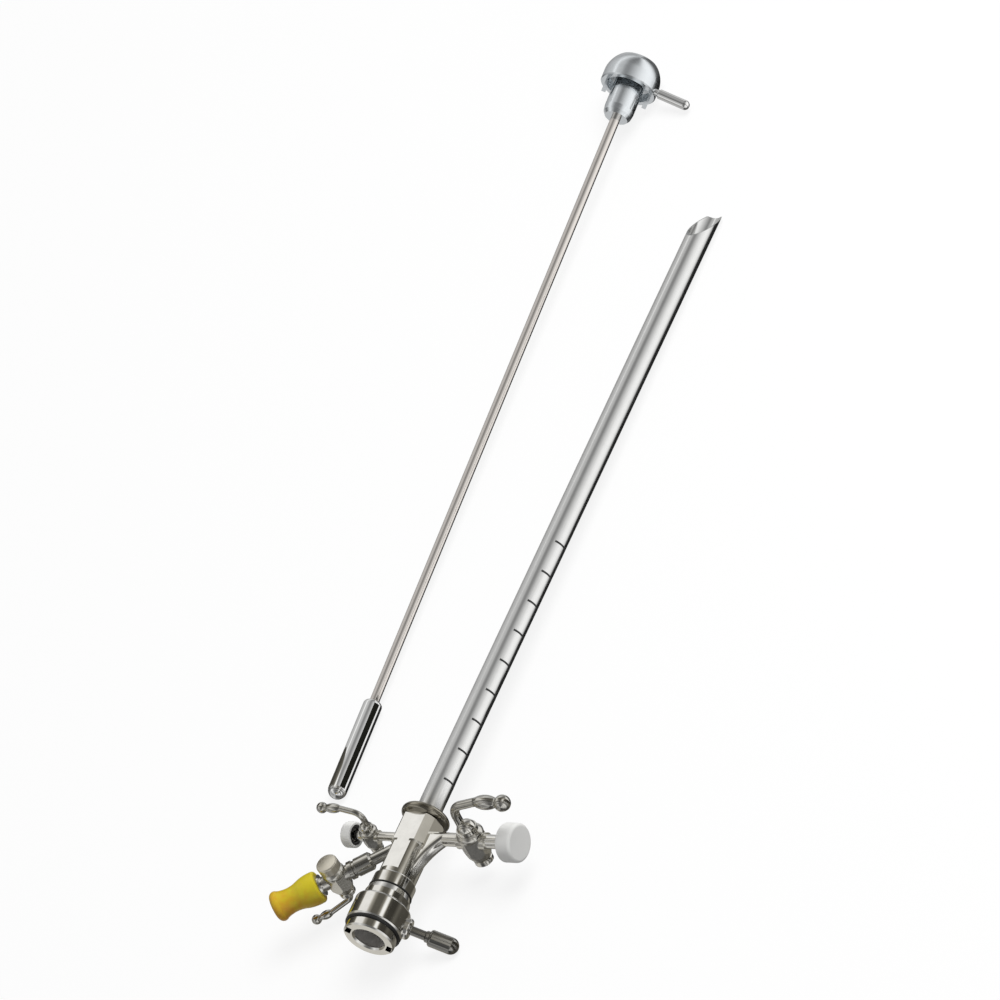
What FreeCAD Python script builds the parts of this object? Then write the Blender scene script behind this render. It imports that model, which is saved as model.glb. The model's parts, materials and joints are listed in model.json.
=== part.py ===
import FreeCAD, Part

import math
import os

# A urethrotome sheath with three stopcocks, and the obturator that lies beside it.
# Each instrument is drawn along its own +Y line and then laid on the table.
# Sheath: +Y runs from the guard ring to the beak, +X to the right port, +Z up from the flat.
# Origin: where the tube's axis meets the guard ring's front face. Lengths are millimetres.

# Sheath tube and beak
tube_od = 7.0
tube_wall = 0.35
tube_reach = 205.0
tube_seat = 20.0
bevel_angle = 28.0
lip_flat = 1.1
mark_count = 9
mark_pitch = 10.0
mark_width = 0.5
mark_depth = 0.08
mark_from = -70.0
mark_to = 38.0

# Guard ring
guard_od = 13.8
guard_thick = 3.0
guard_round = 0.95

# Hub
block_length = 8.6
block_half_width = 5.4
flat_height = 4.6
block_corner = 5.65
block_bevel = 0.9
relief_width = 0.7
relief_radius = 5.0
flat_runout = 1.2
barrel_radius = 5.3
barrel_length = 10.2
shoulder_radius = 6.0
shoulder_length = 4.2
web_reach = 4.4
web_thick = 4.2
web_bow = 1.7
web_round = 1.7

# Lock at the rear of the hub
spigot_radius = 5.2
collar_radius = 6.5
collar_length = 4.2
collar_bevel = 2.0
collar_edge = 0.3
ring_radius = 8.0
ring_length = 7.8
ring_round = 1.0
ring_chamfer = 0.5
end_radius = 7.3
end_length = 3.4
end_chamfer = 0.4
end_cover = 0.8
mouth_chamfer = 0.5
hook_lip = 1.5
hook_room_radius = 6.8
hook_play = 0.3
socket_radius = 4.3
socket_depth = 10.4
seal_section = 0.3
seal_from_floor = 1.6
stop_pin_radius = 0.6
stop_pin_proud = 1.1
stop_pin_floor = 0.25
turning_gap = 0.03
face_gap = 0.05
lock_turn = 45.0
slot_gap = 0.3
slot_play = 11.0

# Lock lever
lock_droop = 33.5
boss_radius = 3.0
boss_proud = 1.4
boss_sunk = 1.5
boss_round = 0.9
lever_root_radius = 1.3
lever_head_radius = 2.4
lever_reach = 23.2
lever_head_length = 7.8
lever_root_length = 5.6
lever_neck_radius = 1.65
lever_thread_depth = 1.5

# Ports
port_station = 8.2
port_bore = 1.0
side_valve_lean = 8.0
right_valve_at = 19.1
left_valve_at = 15.2
left_size = 0.66
channel_size = 0.86
channel_angle = 35.5
channel_station = 8.4
channel_valve_at = 24.2
channel_lean = 2.0
channel_bore = 1.0
channel_pipe_radius = 1.65
channel_inner = 6.0
sleeve_radius = 2.6
sleeve_length = 7.0
sleeve_bevel = 0.55
sleeve_groove_at = 1.2
sleeve_groove_width = 1.0
sleeve_groove_depth = 0.35
sleeve_groove_slope = 0.2

# Stopcock at the size of the right one
pipe_radius = 1.9
valve_top = 4.0
valve_bottom = 5.4
valve_radius = 3.9
valve_across = 6.9
valve_corner_room = 0.15
valve_foot_radius = 2.9
valve_foot_bevel = 2.9
valve_top_radius = 3.04
valve_top_bevel = 1.95
saddle_height = 2.4
saddle_edge_radius = 3.6
saddle_widest = 1.5
saddle_shoulder = 0.55
saddle_top_radius = 3.12
cheek_length = 4.6
cheek_radius = 2.45
cheek_seat_depth = 0.92
plug_top_radius = 2.4
plug_bottom_radius = 2.05
head_radius = 3.0
head_rim = 1.0
head_height = 3.4
head_dome_step = 0.3
stud_radius = 1.1
washer_radius = 2.2
washer_thick = 0.5
washer_crown_radius = 1.76
washer_bevel = 0.2
nut_radius = 2.7
nut_height = 2.1
nut_top_radius = 2.48
nut_bevel = 0.25
nut_foot_radius = 1.94
nut_foot_bevel = 0.6
lever_radius = 1.25
lever_offset = 1.2
lever_rise = 15.3
lever_fall = 2.6
lever_bend = 4.5
lever_length = 19.3
grip_start = 8.0
grip_radius = 2.35
grip_waist = 0.62
grip_lobe = 0.88
grip_overlap = 0.3
grip_neck = 0.85
grip_waist_length = 0.5
grip_lobe_middle = 0.52
grip_hollow = 0.93
outlet_pipe_radius = 1.95
outlet_lip_radius = 2.8
outlet_lip_length = 1.0
right_outlet_length = 10.6
left_outlet_length = 4.6
luer_mouth_radius = 1.55
luer_depth = 0.7
luer_taper = 0.03

# Caps
cap_radius = 5.4
cap_length = 4.7
cap_round = 0.9
cap_back_round = 0.45
cap_cover = 3.6
cap_wall = 1.1
cap_recess = 1.9
rubber_length = 13.8
rubber_base_radius = 4.55
rubber_base_round = 0.75
rubber_belly_at = 3.2
rubber_belly_radius = 4.5
rubber_shoulder_at = 5.2
rubber_shoulder_radius = 4.1
rubber_neck_at = 8.7
rubber_neck_radius = 3.45
rubber_rim_at = 11.6
rubber_rim_radius = 3.95
rubber_mouth_radius = 4.3
rubber_lip_at = 12.6
rubber_lip_radius = 3.5
rubber_hole = 0.9
rubber_hole_flare = 1.0
rubber_hole_depth = 0.8
rubber_bore = 2.6
rubber_cover = 7.0
flange_from = 1.3
flange_thick = 0.7
flange_proud = 0.5
outlet_end_radius = 2.0
outlet_mouth_radius = 1.3
outlet_mouth_depth = 1.0

# Knob and lever of the channel's stopcock
knob_radius = 3.1
knob_height = 3.0
knob_foot_radius = 2.67
knob_foot_bevel = 0.5
knob_stem = 1.8
knob_edge = 0.5
knob_edge_turn = 70.0
knob_crown = 0.25
under_lever_drop = 10.2
under_lever_length = 13.0
under_lever_radius = 0.75
under_lever_fall = 1.5
under_lever_bend = 1.6
under_foot_radius = 1.62
under_foot_waist = 1.12
under_foot_middle = 0.5
under_foot_height = 1.1
under_grip_radius = 1.4
under_grip_length = 6.0

# Obturator
rod_radius = 1.35
tip_radius = 2.65
tip_length = 31.0
tip_seat = 2.0
obturator_length = 240.5
neck_radius = 4.2
neck_length = 9.5
neck_foot = 0.25
neck_foot_length = 2.6
neck_bevel = 0.9
neck_bevel_length = 1.0
pivot_radius = 2.6
obturator_head_radius = 8.0
obturator_head_height = 8.6
head_edge = 0.3
head_wall_height = 3.2
head_shoulder_at = 6.6
head_shoulder_drop = 0.9
crown_radius = 5.6
crown_bevel = 0.3
cup_depth = 3.4
cup_wall = 1.7
cup_round = 0.6
cover_radius = 4.4
cover_thick = 0.9
cover_edge = 0.2
cover_gap = 0.3
retainer_thick = 0.5
retainer_proud = 1.0
retainer_depth = 0.6
retainer_mouth = 2.4
pivot_lip = 0.6
claw_angle = -42.0
claw_drop = 3.0
claw_width = 2.2
claw_thick = 0.7
claw_seat = 0.3
claw_root = 2.4
claw_hook = 1.2
claw_hook_length = 0.9
pin_radius = 1.4
pin_root_radius = 1.0
pin_root_length = 1.6
pin_length = 11.2
pin_droop = 18.0
pin_slant = 12.0
pin_height = 2.6

# How the two lie on the table
obturator_side = 41.2
obturator_start = 9.6

X = FreeCAD.Vector(1, 0, 0)
Y = FreeCAD.Vector(0, 1, 0)
Z = FreeCAD.Vector(0, 0, 1)
ORIGIN = FreeCAD.Vector(0, 0, 0)

tube_radius = tube_od / 2
lumen_radius = tube_radius - tube_wall
guard_back = -guard_thick
block_back = guard_back - block_length
barrel_back = block_back - relief_width - barrel_length
shoulder_hollow = shoulder_radius - barrel_radius
shoulder_back = barrel_back - shoulder_length
collar_back = shoulder_back - collar_length
ring_front = collar_back - face_gap
ring_back = ring_front - ring_length
end_front = ring_back - face_gap
end_back = end_front - end_length
lever_station = (ring_front + ring_back) / 2


def turned(outline, at=ORIGIN, along=Y):
    """Revolve an outline of (radius, distance) points; a pair of points is an arc's middle and end."""
    here = outline[0]
    edges = []
    for step in outline[1:] + [outline[0]]:
        curved = isinstance(step[0], tuple)
        end = step[1] if curved else step
        start_point = FreeCAD.Vector(here[0], 0, here[1])
        end_point = FreeCAD.Vector(end[0], 0, end[1])
        if curved:
            middle = FreeCAD.Vector(step[0][0], 0, step[0][1])
            edges.append(Part.Arc(start_point, middle, end_point).toShape())
        elif start_point.distanceToPoint(end_point) > 1e-7:
            edges.append(Part.makeLine(start_point, end_point))
        here = end
    solid = Part.Face(Part.Wire(edges)).revolve(ORIGIN, Z, 360)
    solid.Placement = FreeCAD.Placement(at, FreeCAD.Rotation(Z, along))
    return Part.Solid(solid.Shells[0]) if solid.ShapeType != "Solid" else solid


def arc_about(centre, radius, start_angle, end_angle):
    """An arc's middle and end for an outline: about a (radius, distance) centre, angles from outward."""
    middle_angle = math.radians((start_angle + end_angle) / 2)
    last_angle = math.radians(end_angle)
    middle = (centre[0] + radius * math.cos(middle_angle), centre[1] + radius * math.sin(middle_angle))
    last = (centre[0] + radius * math.cos(last_angle), centre[1] + radius * math.sin(last_angle))
    return middle, last


def round_end(radius, end):
    """The quarter arc of a ball end that closes an outline on its axis."""
    return arc_about((0, end - radius), radius, 0, 90)[0], (0, end)


def crown(edge_radius, base, rise):
    """The arc of a shallow ball-shaped crown from its edge to the axis."""
    ball = (edge_radius ** 2 + rise ** 2) / (2 * rise)
    start_angle = math.degrees(math.acos(edge_radius / ball))
    if rise > edge_radius:
        start_angle = -start_angle
    return arc_about((0, base + rise - ball), ball, start_angle, 90)[0], (0, base + rise)


def sector(radius, front, back, low_angle, high_angle):
    """A slice of a round bar on the instrument's line, between two angles from +X towards +Z."""
    slice_solid = Part.makeCylinder(radius, front - back, ORIGIN, Z, high_angle - low_angle)
    slice_solid.rotate(ORIGIN, Z, low_angle)
    slice_solid.rotate(ORIGIN, X, 90)
    slice_solid.translate(station(front))
    return slice_solid


def rod(radius, start, end):
    """A round bar between two points."""
    span = end - start
    return Part.makeCylinder(radius, span.Length, start, span)


def bent_bar(radius, points, bend):
    """A round bar along straight runs, with an arc of the bend radius at each inner point."""
    here = points[0]
    edges = []
    for before, corner, after in zip(points, points[1:], points[2:]):
        arriving = (corner - before).normalize()
        leaving = (after - corner).normalize()
        turn = arriving.getAngle(leaving)
        cut_back = bend * math.tan(turn / 2)
        start = corner - arriving * cut_back
        end = corner + leaving * cut_back
        towards = (leaving - arriving).normalize()
        middle = corner + towards * (bend / math.cos(turn / 2) - bend)
        edges.append(Part.makeLine(here, start))
        edges.append(Part.Arc(start, middle, end).toShape())
        here = end
    edges.append(Part.makeLine(here, points[-1]))
    section = Part.Wire(Part.makeCircle(radius, points[0], points[1] - points[0]))
    return Part.Wire(edges).makePipeShell([section], True, False)


def station(distance):
    """A point on the instrument's own line."""
    return FreeCAD.Vector(0, distance, 0)


def tube_ring(outer, inner, front, back):
    """A plain ring about the instrument's line between two stations."""
    length = front - back
    return Part.makeCylinder(outer, length, station(back), Y).cut(
        Part.makeCylinder(inner, length, station(back), Y))


# Directions of the three ports, in the sheath's own frame

channel_out = FreeCAD.Vector(-math.cos(math.radians(channel_angle)),
                             -math.sin(math.radians(channel_angle)), 0)
channel_start = station(-channel_station)
port_start = station(-port_station)


class ValveFrame:
    """A valve's own axes: out along its pipe, up along its plug, at their crossing point."""

    def __init__(self, start, out, reach, lean):
        self.origin = start + out * reach
        self.out = out
        self.up = FreeCAD.Rotation(out, lean).multVec(Z)
        across = self.up.cross(out)
        self.placement = FreeCAD.Placement(self.origin, FreeCAD.Rotation(out, across, self.up))

    def put(self, shape):
        """The shape, moved from the valve's axes to the sheath's."""
        placed = shape.copy()
        placed.Placement = self.placement.multiply(placed.Placement)
        return placed


right_frame = ValveFrame(port_start, X, right_valve_at, -side_valve_lean)
left_frame = ValveFrame(port_start, -X, left_valve_at, side_valve_lean)
channel_frame = ValveFrame(channel_start, channel_out, channel_valve_at, channel_lean)


# Sheath

def sheath_tube():
    """The tube with its oblique beak, side holes under the ports and shallow depth marks."""
    length = tube_reach + tube_seat
    tube = Part.makeCylinder(tube_radius, length, station(-tube_seat), Y)
    tube = tube.cut(Part.makeCylinder(lumen_radius, length, station(-tube_seat), Y))
    slope = math.radians(bevel_angle)
    lip = FreeCAD.Vector(0, tube_reach, lip_flat - tube_radius)
    knife = Part.makeBox(6 * tube_od, 8 * tube_od, 4 * tube_od)
    knife.translate(FreeCAD.Vector(-3 * tube_od, -8 * tube_od, 0))
    knife.rotate(ORIGIN, X, -math.degrees(slope))
    knife.translate(lip)
    tube = tube.cut(knife)
    for side, bore in ((X, port_bore), (-X, port_bore * left_size)):
        tube = tube.cut(rod(bore, port_start, port_start + side * tube_od))
    tube = tube.cut(rod(channel_bore, channel_start, channel_start + channel_out * 2 * tube_od))
    for count in range(1, mark_count + 1):
        tube = tube.cut(depth_mark(count * mark_pitch))
    return tube


def depth_mark(distance):
    """The ring sector that one depth mark takes out of the tube's surface."""
    front = distance + mark_width / 2
    back = distance - mark_width / 2
    cutter = sector(tube_od, front, back, mark_from, mark_to)
    return cutter.cut(rod(tube_radius - mark_depth, station(back - 1), station(front + 1)))


def guard_ring():
    """The thick ring with a rounded rim that the tube passes through."""
    outer = guard_od / 2
    edge = guard_round
    rise = edge / 3
    return turned([(tube_radius, 0), (outer - 3 * edge, 0), (outer - edge, -rise),
                   ((outer, guard_back / 2), (outer - edge, guard_back + rise)),
                   (outer - 2 * edge, guard_back), (tube_radius, guard_back)])


def flat_cutter(front, back):
    """Everything above the hub's top flat between two stations."""
    box = Part.makeBox(6 * flat_height, front - back, 3 * flat_height)
    box.translate(FreeCAD.Vector(-3 * flat_height, back, flat_height))
    return box


def hub_block():
    """The eight-sided front of the hub, with narrower slanting sides."""
    corner_x = block_corner * math.sqrt(2) - flat_height
    corner_z = block_corner * math.sqrt(2) - block_half_width
    points = [(corner_x, flat_height), (block_half_width, corner_z), (block_half_width, -corner_z),
              (corner_x, -flat_height), (-corner_x, -flat_height), (-block_half_width, -corner_z),
              (-block_half_width, corner_z), (-corner_x, flat_height)]
    ring = [FreeCAD.Vector(x, block_back, z) for x, z in points]
    block = Part.Face(Part.makePolygon(ring + ring[:1])).extrude(Y * block_length)
    corner = block_corner + block_bevel
    rounding = turned([(0, guard_back), (block_corner, guard_back), (corner, guard_back - block_bevel),
                       (corner, block_back), (0, block_back)])
    return block.common(rounding)


def hub_web():
    """The rounded web that carries the right pipe on the hub's rear half."""
    front = -port_station
    back = barrel_back - shoulder_hollow
    outer = block_half_width + web_reach
    half = web_thick / 2
    start = FreeCAD.Vector(0, front, -half)
    tip = FreeCAD.Vector(outer, front, -half)
    low = FreeCAD.Vector(outer, front - pipe_radius, -half)
    foot = FreeCAD.Vector(barrel_radius, back, -half)
    middle = FreeCAD.Vector(barrel_radius + web_bow, front - pipe_radius - web_reach, -half)
    edges = [Part.makeLine(start, tip), Part.makeLine(tip, low), Part.Arc(low, middle, foot).toShape(),
             Part.makeLine(foot, FreeCAD.Vector(0, back, -half)),
             Part.makeLine(FreeCAD.Vector(0, back, -half), start)]
    web = Part.Face(Part.Wire(edges)).extrude(Z * web_thick)
    rim = [edge for edge in web.Edges if edge.Curve.TypeId == "Part::GeomCircle"]
    return web.makeFillet(web_round, rim)


def hub_body():
    """The hub, with its bores for the tube, the ports and the socket, and the spigot for the lock."""
    relief_back = block_back - relief_width
    profile = turned([(0, block_back), (relief_radius, block_back), (relief_radius, relief_back),
                      (barrel_radius, relief_back), (barrel_radius, barrel_back),
                      arc_about((shoulder_radius, barrel_back), shoulder_hollow, 180, 270),
                      (shoulder_radius, shoulder_back), (spigot_radius, shoulder_back),
                      (spigot_radius, end_back + end_cover), (0, end_back + end_cover)])
    hub = hub_block().fuse(profile).fuse(hub_web())
    hub = hub.cut(flat_cutter(0, barrel_back + flat_runout))
    hub = hub.cut(Part.makeCylinder(tube_radius, tube_seat, station(-tube_seat), Y))
    hub = hub.cut(Part.makeCylinder(lumen_radius, -end_back, station(end_back), Y))
    hub = hub.cut(Part.makeCylinder(socket_radius, socket_depth, station(end_back), Y))
    hub = hub.cut(seal_groove())
    for side, size in ((X, 1.0), (-X, left_size)):
        reach = side * (2 * block_half_width + web_reach)
        hub = hub.cut(rod(pipe_radius * size, port_start + side * tube_radius, port_start + reach))
        hub = hub.cut(rod(port_bore * size, port_start, port_start + reach))
    inner = channel_start + channel_out * channel_inner
    hub = hub.cut(rod(channel_pipe_radius, inner, inner + channel_out * 3 * barrel_radius))
    hub = hub.cut(rod(channel_bore, channel_start, inner))
    hub = hub.cut(stop_pin_hole())
    return hub.removeSplitter()


def seal_station():
    """The middle of the seal, a little way up from the socket's floor."""
    return end_back + socket_depth - seal_from_floor


def seal_groove():
    """The groove for the socket's seal."""
    return tube_ring(socket_radius + 2 * seal_section, socket_radius - seal_section,
                     seal_station() + seal_section, seal_station() - seal_section)


def socket_seal():
    """The rubber ring in the socket."""
    return Part.makeTorus(socket_radius + seal_section, seal_section, station(seal_station()), Y)


def collar_ring():
    """The screwed collar in front of the lock ring, narrower at its front edge."""
    front = shoulder_back
    return turned([(spigot_radius, front), (shoulder_radius - collar_edge, front),
                   (shoulder_radius, front - collar_edge), (collar_radius, front - collar_bevel),
                   (collar_radius, collar_back), (spigot_radius, collar_back)])


lock_direction = FreeCAD.Rotation(Y, lock_droop).multVec(X)


def lock_ring():
    """The broad ring with its lever's boss and a slot for the stop pin."""
    front = ring_front
    inner = spigot_radius + turning_gap
    ring = turned([(inner, front), (ring_radius - ring_round, front),
                   arc_about((ring_radius - ring_round, front - ring_round), ring_round, 90, 0),
                   (ring_radius, ring_back + ring_chamfer), (ring_radius - ring_chamfer, ring_back),
                   (inner, ring_back)])
    centre = station(lever_station)
    boss = rod(boss_radius, centre + lock_direction * (ring_radius - boss_sunk),
               centre + lock_direction * (ring_radius + boss_proud))
    rim = [edge for edge in boss.Edges if edge.Curve.TypeId == "Part::GeomCircle"
           and edge.CenterOfMass.distanceToPoint(centre) > ring_radius]
    ring = ring.fuse(boss.makeFillet(boss_round, rim))
    thread = centre + lock_direction * (ring_radius + boss_proud - lever_thread_depth)
    ring = ring.cut(rod(lever_root_radius, thread, centre + lock_direction * 2 * ring_radius))
    slot = sector(spigot_radius + stop_pin_proud + slot_gap, lever_station + stop_pin_radius + slot_gap,
                  lever_station - stop_pin_radius - slot_gap, 90 - lock_turn - slot_play, 90 + slot_play)
    return ring.cut(slot).removeSplitter()


def stop_pin_hole():
    """The blind hole in the spigot for the stop pin."""
    return rod(stop_pin_radius, stop_pin_base(), stop_pin_base() + Z * 2 * spigot_radius)


def stop_pin_base():
    """The bottom of the stop pin's hole, just short of the socket's wall."""
    return FreeCAD.Vector(0, lever_station, socket_radius + stop_pin_floor)


def lock_stop_pin():
    """The pin that limits the lock ring's turn."""
    top = FreeCAD.Vector(0, lever_station, spigot_radius + stop_pin_proud)
    return rod(stop_pin_radius, stop_pin_base(), top)


def lock_lever():
    """The turned lever: a slim root, a step and a thicker round-ended head."""
    base = ring_radius + boss_proud - lever_thread_depth
    neck_start = base + lever_root_length
    neck_end = lever_reach - lever_head_length
    head = lever_head_radius
    step = head - lever_neck_radius
    return turned([(0, base), (lever_root_radius, base), (lever_root_radius, neck_start),
                   (lever_neck_radius, neck_start + lever_neck_radius - lever_root_radius),
                   (lever_neck_radius, neck_end - step),
                   arc_about((lever_neck_radius, neck_end), step, -90, 0),
                   (head, lever_reach - head), round_end(head, lever_reach)],
                  station(lever_station), lock_direction)


def end_ring():
    """The ring on the spigot's end: the socket's mouth, two slots for hooks and the room behind them."""
    inner = spigot_radius
    lip_front = end_back + hook_lip
    ring = turned([(hook_room_radius, end_front), (end_radius, end_front),
                   (end_radius, end_back + end_chamfer), (end_radius - end_chamfer, end_back),
                   (socket_radius + mouth_chamfer, end_back), (socket_radius, end_back + mouth_chamfer),
                   (socket_radius, end_back + end_cover), (inner, end_back + end_cover),
                   (inner, lip_front), (hook_room_radius, lip_front)])
    for turn in (0, 180):
        ring = ring.cut(radial_box(turn, end_back - 1, lip_front + 1, inner + face_gap, hook_room_radius,
                                   claw_width + 2 * hook_play))
    return ring


def radial_box(turn, low, high, inner, outer, width):
    """A block across the instrument's line, at the angle of the claws or half a turn from it."""
    box = Part.makeBox(outer - inner, high - low, width)
    box.translate(FreeCAD.Vector(inner, low, -width / 2))
    box.rotate(ORIGIN, Y, -claw_angle + turn)
    return box


# Stopcocks, drawn about the crossing of pipe and plug: x out along the pipe, z up the plug

def valve_body(size, inlet, outlet, bore):
    """The stopcock's body: a bevelled six-sided barrel, a round neck and a cheek on each side."""
    top = valve_top * size
    bottom = -valve_bottom * size
    corner = valve_across * size / math.sqrt(3)
    corners = [FreeCAD.Rotation(Z, 60 * turn + 30).multVec(X * corner) for turn in range(7)]
    hexagon = Part.Face(Part.makePolygon(corners)).extrude(Z * (top - bottom))
    hexagon.translate(Z * bottom)
    clear = corner + valve_corner_room * size
    bevel = turned([(0, bottom), (valve_foot_radius * size, bottom),
                    (clear, bottom + valve_foot_bevel * size), (clear, top - valve_top_bevel * size),
                    (valve_top_radius * size, top), (0, top)], along=Z)
    edge = saddle_edge_radius * size
    saddle = turned([(0, top - saddle_height * size), (edge, top - saddle_height * size),
                     ((valve_radius * size, top - saddle_widest * size),
                      (edge, top - saddle_shoulder * size)),
                     (saddle_top_radius * size, top), (0, top)], along=Z)
    body = hexagon.common(bevel).fuse(saddle)
    cheek = cheek_radius * size
    reach = cheek_length * size
    body = body.fuse(turned([(0, -reach), (cheek, -reach), (cheek, reach), (0, reach)], along=X))
    body = body.cut(rod(inlet, -X * (reach + 1), -X * cheek_seat(size)))
    body = body.cut(rod(outlet, X * cheek_seat(size), X * (reach + 1)))
    body = body.cut(plug_cone(size, 0.0, top, bottom))
    body = body.cut(rod(bore, -X * 2 * reach, X * 2 * reach))
    return body.removeSplitter()


def cheek_seat(size):
    """How far from the plug's axis the pipe and the outlet end inside the cheeks."""
    return (cheek_length - cheek_seat_depth) * size


def plug_cone(size, gap, top, bottom):
    """The taper of a plug or of its seat; gap is how much slimmer it is than the seat."""
    upper = plug_top_radius * size - gap
    lower = plug_bottom_radius * size - gap
    return Part.makeCone(lower, upper, top - bottom, Z * bottom)


def plug_blank(size, bore):
    """The tapered plug with its cross bore and the stud for the nut."""
    top = valve_top * size + face_gap
    bottom = -valve_bottom * size
    plug = plug_cone(size, turning_gap, top, bottom)
    stud_end = bottom - (washer_thick + nut_height) * size
    plug = plug.fuse(rod(stud_radius * size, Z * bottom, Z * stud_end))
    return plug.cut(rod(bore, -X * 2 * valve_radius, X * 2 * valve_radius))


def domed_plug(size):
    """A side valve's plug with its rimmed and domed head, drilled for the lever's foot."""
    base = valve_top * size + face_gap
    radius = head_radius * size
    rim = base + head_rim * size
    dome = radius - head_dome_step * size
    head = turned([(0, base), (radius, base), (radius, rim), (dome, rim),
                   crown(dome, rim, (head_height - head_rim) * size)], along=Z)
    return plug_blank(size, port_bore * size).fuse(head).cut(lever_foot(size)).removeSplitter()


def lever_foot(size):
    """The round foot of the curved lever, sunk in the plug's head."""
    foot = FreeCAD.Vector(-lever_offset, 0, valve_top + head_rim) * size
    return rod(lever_radius * size, foot, foot + Z * head_height * 2 * size)


def curved_lever(size):
    """The swan-neck lever: up from the head, over in an arc and out to a two-lobed grip."""
    start = FreeCAD.Vector(-lever_offset, 0, valve_top + head_rim) * size
    knee = FreeCAD.Vector(-lever_offset, 0, lever_rise - lever_fall) * size
    reach = FreeCAD.Vector(grip_start, 0, lever_rise) * size
    arm = bent_bar(lever_radius * size, [start, knee, reach], lever_bend * size)
    grip = lobed_grip(lever_radius * size, grip_radius * size, (lever_length - grip_start) * size, reach)
    return arm.fuse(grip).removeSplitter()


def lobed_grip(arm, ball, length, at):
    """A grip with a small lobe, a waist and a ball, out along the valve's pipe from a point."""
    waist = ball * grip_waist
    lobe = ball * grip_lobe
    ball_centre = length - ball
    ball_angle = -math.degrees(math.acos(waist / ball))
    ball_start = ball_centre + ball * math.sin(math.radians(ball_angle))
    lobe_end = ball_start - waist * grip_waist_length
    base = -arm * grip_overlap
    return turned([(0, base), (arm * grip_neck, base),
                   ((lobe, lobe_end * grip_lobe_middle), (waist, lobe_end)),
                   ((waist * grip_hollow, (lobe_end + ball_start) / 2), (waist, ball_start)),
                   (arc_about((0, ball_centre), ball, ball_angle, 90)[0], (0, length))], at, X)


def valve_washer(size):
    """The domed spring washer under the body."""
    face = -valve_bottom * size - face_gap
    return turned([(stud_radius * size, face), (washer_crown_radius * size, face),
                   (washer_radius * size, face - washer_bevel * size),
                   (washer_radius * size, face - washer_thick * size),
                   (stud_radius * size, face - washer_thick * size)], along=Z)


def valve_nut(size):
    """The round nut with a bevelled foot."""
    top = -(valve_bottom + washer_thick) * size - face_gap
    bottom = top - nut_height * size
    radius = nut_radius * size
    return turned([(stud_radius * size, top), (nut_top_radius * size, top), (radius, top - nut_bevel * size),
                   (radius, bottom + nut_foot_bevel * size), (nut_foot_radius * size, bottom),
                   (stud_radius * size, bottom)], along=Z)


def luer_outlet(size, length):
    """The outlet: a plain pipe with a lipped mouth and a tapered bore."""
    pipe = outlet_pipe_radius * size
    lip = outlet_lip_radius * size
    start = cheek_seat(size)
    end = start + length
    lip_start = end - outlet_lip_length * size
    taper_start = end - luer_depth * length
    bore = port_bore * size
    return turned([(bore, start), (pipe, start), (pipe, lip_start), (lip, lip_start), (lip, end),
                   (luer_radius(size, length), end), (luer_mouth_radius * size, taper_start),
                   (bore, taper_start)], along=X)


def luer_radius(size, length):
    """The tapered bore's radius at the outlet's mouth."""
    return luer_mouth_radius * size + luer_taper * luer_depth * length


def luer_cap(size, length):
    """The white cap: a round-edged cup with a wide recess, which grips the outlet's lip deeper in."""
    grip = outlet_lip_radius * size + face_gap
    end = cheek_seat(size) + length + face_gap
    outer = cap_radius * size
    inside = outer - cap_wall * size
    back = end - cap_cover * size
    front = back + cap_length * size
    recess = back + cap_recess * size
    edge = cap_round * size
    back_edge = cap_back_round * size
    return turned([(inside, back), (outer - back_edge, back),
                   arc_about((outer - back_edge, back + back_edge), back_edge, -90, 0), (outer, front - edge),
                   arc_about((outer - edge, front - edge), edge, 0, 90), (0, front), (0, end), (grip, end),
                   (grip, recess), (inside, recess)], along=X)


def knob_plug(size):
    """The channel valve's plug: its stem passes the knob above and the lever's eye below."""
    base = valve_top * size + face_gap
    stem = rod(stud_radius * size, Z * base, Z * (base + knob_stem))
    return plug_blank(size, channel_bore).fuse(stem).removeSplitter()


def flat_knob(size):
    """The broad knob with a slightly crowned face."""
    base = valve_top * size + face_gap
    top = base + knob_height
    turn = math.radians(knob_edge_turn)
    face_edge = knob_radius - knob_edge * (1 - math.cos(turn))
    face_foot = top - knob_edge * (1 - math.sin(turn))
    return turned([(stud_radius * size, base), (knob_foot_radius, base),
                   (knob_radius, base + knob_foot_bevel), (knob_radius, top - knob_edge),
                   arc_about((knob_radius - knob_edge, top - knob_edge), knob_edge, 0, knob_edge_turn),
                   crown(face_edge, face_foot, knob_crown),
                   (0, base + knob_stem), (stud_radius * size, base + knob_stem)], along=Z)


def under_lever(size):
    """The slim lever under the channel's valve, from the nut outwards to a small ball."""
    nut_foot = -(valve_bottom + washer_thick + nut_height) * size - face_gap
    start = FreeCAD.Vector(0, 0, nut_foot)
    knee = FreeCAD.Vector(0, 0, -under_lever_drop + under_lever_fall)
    end = FreeCAD.Vector(under_lever_length - under_grip_length, 0, -under_lever_drop)
    arm = bent_bar(under_lever_radius, [start, knee, end], under_lever_bend)
    foot_end = nut_foot - under_foot_height
    foot = turned([(0, nut_foot), (under_foot_radius, nut_foot),
                   ((under_foot_waist, nut_foot - under_foot_middle), (under_lever_radius, foot_end)),
                   (0, foot_end)], along=Z)
    grip = lobed_grip(under_lever_radius, under_grip_radius, under_grip_length, end)
    return arm.fuse(foot).fuse(grip).removeSplitter()


def channel_outlet(size):
    """The dark collar that the rubber cap is pushed over."""
    start = cheek_seat(size)
    flange = rubber_bore + flange_proud
    flange_end = flange_back(size) + flange_thick
    end = rubber_floor(size) - face_gap
    return turned([(channel_bore, start), (outlet_end_radius, start), (outlet_end_radius, flange_back(size)),
                   (flange, flange_back(size)), (flange, flange_end), (rubber_bore - face_gap, flange_end),
                   (rubber_bore - face_gap, end), (outlet_mouth_radius, end),
                   (channel_bore, end - outlet_mouth_depth)], along=X)


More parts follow.
